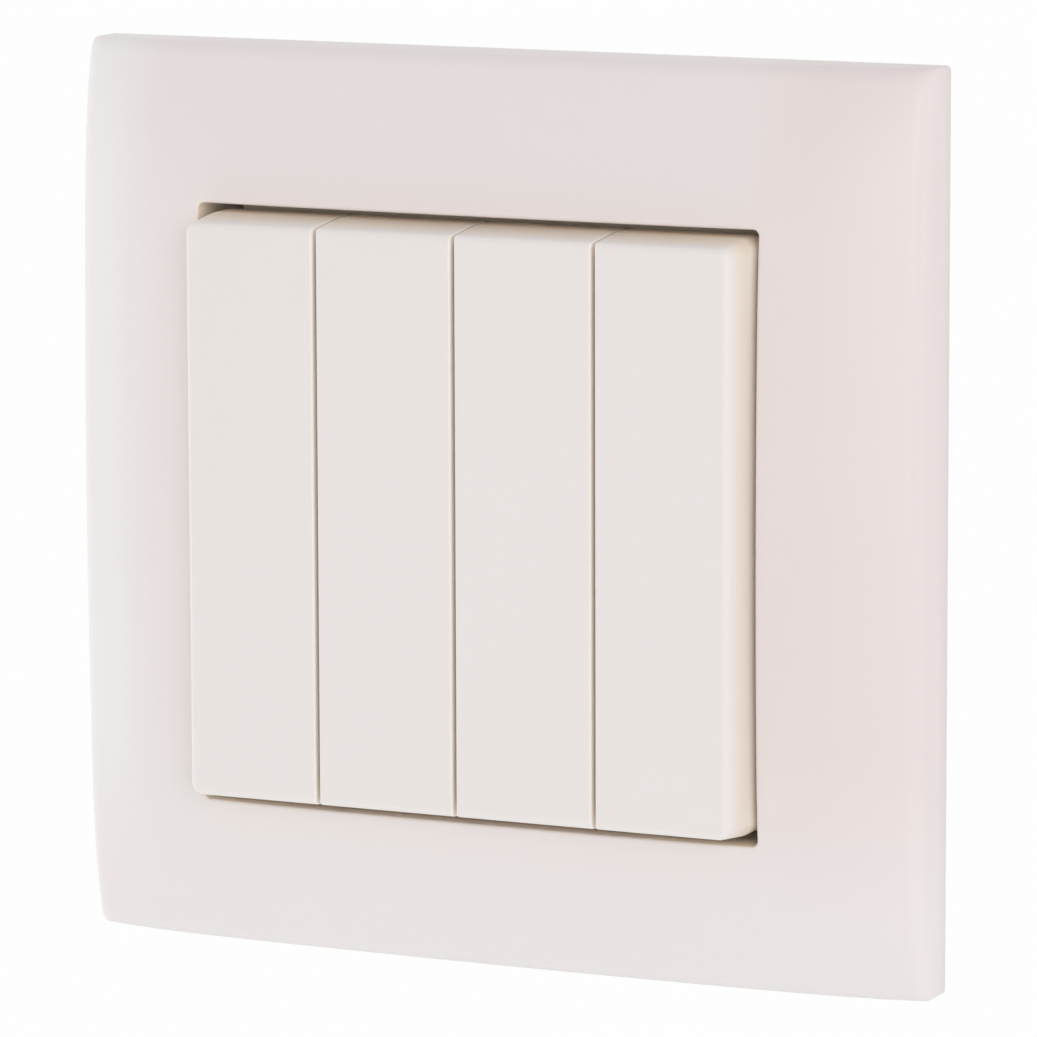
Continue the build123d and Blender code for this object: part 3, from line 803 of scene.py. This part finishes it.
# housing and mounting plate with softened edges
softEdges = {
    # piece: node it is made from, and width of the rounding in mm
    "housingBlock": ("base", 0.25),
    "mountingPlate": ("support_ring", 0.12),
}
softPlan = {
    "segments": 2,
    "edgeAngle": 35.0,  # degrees between faces from which an edge is rounded
    "flatAngle": 0.5,  # and up to which they are one flat
    "weld": 0.0005,  # mm
}


def makeSoft(name, node, width, plan):
    # the node's own solid with its points welded, its flats rejoined and its edges rounded
    work = bmesh.new()
    work.from_mesh(frame["nodes"][node].data)
    bmesh.ops.remove_doubles(work, verts=work.verts, dist=plan["weld"] * mm)
    flat = math.radians(plan["flatAngle"])
    bmesh.ops.dissolve_limit(work, angle_limit=flat, verts=work.verts, edges=work.edges)
    bmesh.ops.recalc_face_normals(work, faces=work.faces)
    welded = bpy.data.meshes.new("welded")
    work.to_mesh(welded)
    work.free()
    points = np.empty((len(welded.vertices), 3), np.float32)
    corners = np.empty(len(welded.loops), np.int32)
    starts = np.empty(len(welded.polygons), np.int32)
    welded.vertices.foreach_get("co", points.ravel())
    welded.loops.foreach_get("vertex_index", corners)
    welded.polygons.foreach_get("loop_start", starts)
    bpy.data.meshes.remove(welded)
    faces = [face.tolist() for face in np.split(corners, starts[1:])]
    piece = putPiece(name, points.astype(float) / mm, faces, nodeSlots[node], "insert")
    bevel = piece.modifiers.new("softEdge", "BEVEL")
    bevel.width, bevel.segments = width * mm, plan["segments"]
    bevel.limit_method, bevel.angle_limit = "ANGLE", math.radians(plan["edgeAngle"])
    bevel.harden_normals = True
    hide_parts(node)


for name, (node, width) in softEdges.items():
    makeSoft(name, node, width, softPlan)
print("soft edges made")

# stage and light
stagePlan = {
    "floor": -1.20,  # metres, well below the part
    "reach": 30.0,
    "whiteness": 0.97,  # of the floor where it is seen
    "pale": (0.86, 0.86, 0.86, 1),
    "deep": (0.82, 0.82, 0.82, 1),
    "clouds": 3.0,
    "roughness": 0.9,
}
lightPlan = {
    # name: place, size, watts and colour, all aimed at the middle of the part
    "mainLight": ((0.98, -1.48, 0.31), 1.2, 8.7, (1.0, 0.970, 0.968)),
    "rightLight": ((1.70, 0.45, 0.10), 1.0, 3.9, (0.97, 1.0, 1.0)),
    "leftLight": ((-1.70, 0.12, 0.00), 1.0, 10.0, (0.90, 1.0, 1.0)),
    "lowLight": ((-0.35, -0.20, -1.05), 0.6, 1.9, (0.86, 1.0, 1.0)),
}
worldPlan = {
    "side": (0.945, 0.945, 0.945, 1),  # light from round about
    "above": (0.66, 0.66, 0.66, 1),
    "start": 0.05,  # upward part of the direction where the light starts to fall
    "end": 0.85,
}
white = (1.0, 1.0, 1.0, 1.0)


def makeStage(plan):
    # flat square of two by two faces
    side = np.linspace(-plan["reach"], plan["reach"], 3)
    x, y = np.meshgrid(side, side, indexing="ij")
    points = np.stack([x, y, np.full_like(x, plan["floor"])], axis=-1).reshape(-1, 3)
    mesh = bpy.data.meshes.new("paleFloor")
    mesh.from_pydata(points.tolist(), [], [(0, 3, 4, 1), (1, 4, 5, 2), (3, 6, 7, 4), (4, 7, 8, 5)])
    floor = bpy.data.objects.new("paleFloor", mesh)
    scene.collection.objects.link(floor)
    finish = Finish("paleFloor", {"Roughness": plan["roughness"]})
    finish.feed("Base Color", finish.mix(finish.noise(plan["clouds"]), plan["deep"], plan["pale"]))
    glow = finish.node("ShaderNodeEmission", {}, {"Color": white, "Strength": 1.0})
    lit = Wire(finish, finish.shader.outputs[0])
    surface = finish.node("ShaderNodeMixShader", {}, {0: plan["whiteness"] * finish.seen(), 1: lit, 2: glow})
    finish.tree.links.new(surface.socket, finish.tree.nodes["Material Output"].inputs["Surface"])
    mesh.materials.append(finish.material)


def makeLights(plan):
    # round lamps turned to the origin
    for name, (place, size, watts, colour) in plan.items():
        data = bpy.data.lights.new(name, "AREA")
        data.shape = "DISK"
        data.size, data.energy, data.color = size, watts, colour
        lamp = bpy.data.objects.new(name, data)
        lamp.location = place
        lamp.visible_glossy = name == "mainLight"  # the others only fill, without a highlight
        lamp.rotation_euler = (-Vector(place)).to_track_quat("-Z", "Y").to_euler()
        scene.collection.objects.link(lamp)


def makeWorld(plan):
    # white where it is seen, and a soft grey for light
    world = bpy.data.worlds.new("softRoom")
    scene.world = world
    world.use_nodes = True
    world.node_tree.nodes.clear()
    tree = NodeTree(world.node_tree)
    direction = tree.node("ShaderNodeTexCoord", {}, {}, "Generated")
    _, _, upward = tree.split(direction)
    level = tree.mix(tree.fade(upward, plan["start"], plan["end"]), plan["side"], plan["above"])
    soft = tree.node("ShaderNodeBackground", {}, {"Color": level, "Strength": 1.0})
    bare = tree.node("ShaderNodeBackground", {}, {"Color": white, "Strength": 1.0})
    sky = tree.node("ShaderNodeMixShader", {}, {0: tree.seen(), 1: soft, 2: bare})
    tree.node("ShaderNodeOutputWorld", {}, {"Surface": sky})


makeStage(stagePlan)
makeLights(lightPlan)
makeWorld(worldPlan)
scene.view_settings.view_transform = "Standard"
print("stage and light made")
